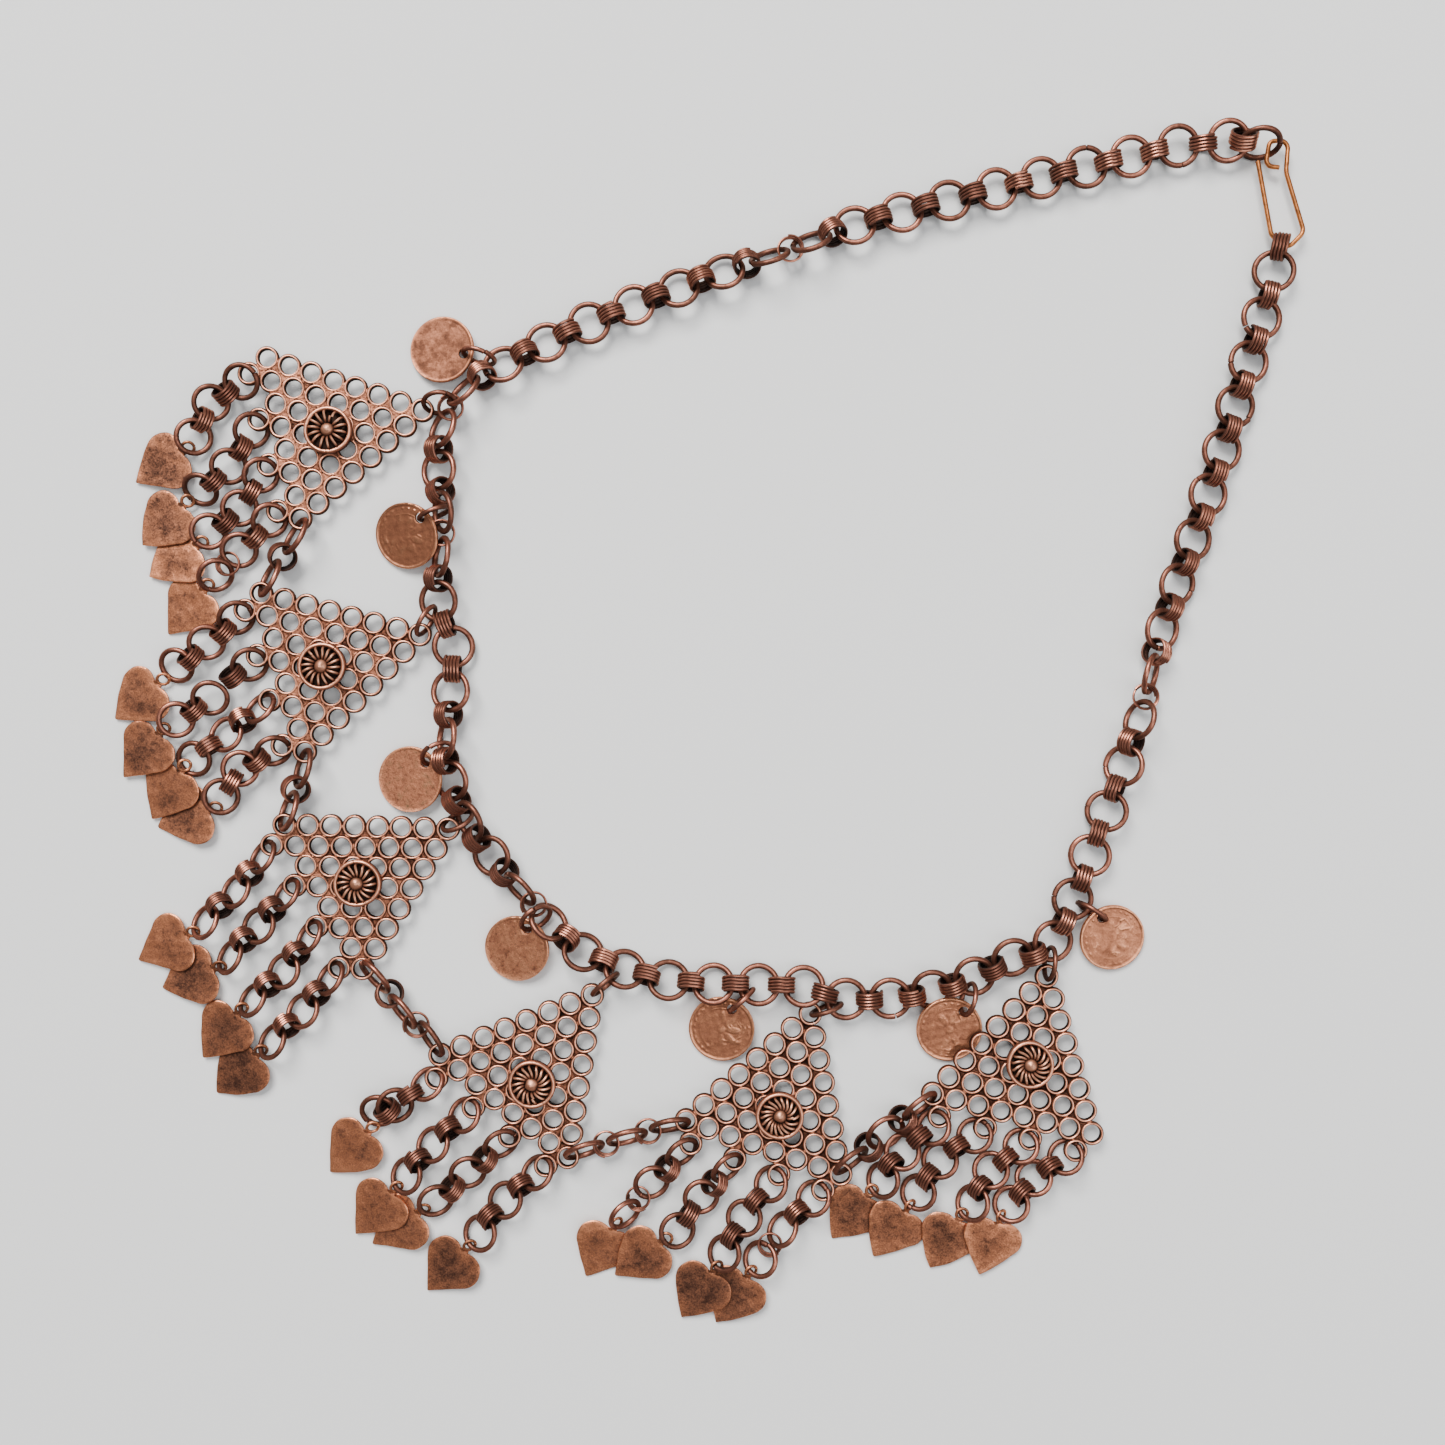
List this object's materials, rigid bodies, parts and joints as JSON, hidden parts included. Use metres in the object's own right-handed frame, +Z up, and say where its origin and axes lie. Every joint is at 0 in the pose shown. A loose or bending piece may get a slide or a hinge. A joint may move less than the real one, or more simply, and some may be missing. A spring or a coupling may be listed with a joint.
{
  "type": "folk necklace",
  "caption": "Folk necklace lying fastened: a chain of copper rings and wire coils with triangular ring plates, heart drops and pierced coins.",
  "frame": {"origin": "on the surface it lies on, under the middle of the whole necklace", "axes": "+Z up from the surface, +X and +Y as right and up in a view from above, with the clasp at +X +Y"},
  "size_m": [0.2712, 0.2736, 0.0097],
  "materials": {
    "chain_copper": "dark tarnished copper wire, worn bright on top",
    "plate_copper": "pinkish copper rings with brighter solder",
    "heart_copper": "mottled copper sheet with brown patches",
    "coin_copper": "worn coin metal with a faint relief",
    "hook_brass": "golden brass wire"
  },
  "bodies": {
    "root": {"neck_chain_left": "chain_copper", "neck_chain_right": "chain_copper", "clasp_hook": "hook_brass", "plate_rings": "chain_copper", "coin_rings": "chain_copper", "triangle_plate_1": "plate_copper", "drop_chains_1": "chain_copper", "heart_1_1": "heart_copper", "heart_1_2": "heart_copper", "heart_1_3": "heart_copper", "heart_1_4": "heart_copper", "triangle_plate_2": "plate_copper", "drop_chains_2": "chain_copper", "heart_2_1": "heart_copper", "heart_2_2": "heart_copper", "heart_2_3": "heart_copper", "heart_2_4": "heart_copper", "triangle_plate_3": "plate_copper", "drop_chains_3": "chain_copper", "heart_3_1": "heart_copper", "heart_3_2": "heart_copper", "heart_3_3": "heart_copper", "heart_3_4": "heart_copper", "triangle_plate_4": "plate_copper", "drop_chains_4": "chain_copper", "heart_4_1": "heart_copper", "heart_4_2": "heart_copper", "heart_4_3": "heart_copper", "heart_4_4": "heart_copper", "triangle_plate_5": "plate_copper", "drop_chains_5": "chain_copper", "heart_5_1": "heart_copper", "heart_5_2": "heart_copper", "heart_5_3": "heart_copper", "heart_5_4": "heart_copper", "triangle_plate_6": "plate_copper", "drop_chains_6": "chain_copper", "heart_6_1": "heart_copper", "heart_6_2": "heart_copper", "heart_6_3": "heart_copper", "heart_6_4": "heart_copper", "coin_1": "coin_copper", "coin_2": "coin_copper", "coin_3": "coin_copper", "coin_4": "coin_copper", "coin_5": "coin_copper", "coin_6": "coin_copper", "coin_7": "coin_copper", "link_chain_1": "chain_copper", "link_chain_2": "chain_copper", "link_chain_3": "chain_copper", "link_chain_4": "chain_copper", "link_chain_5": "chain_copper"}
  },
  "joints": []
}
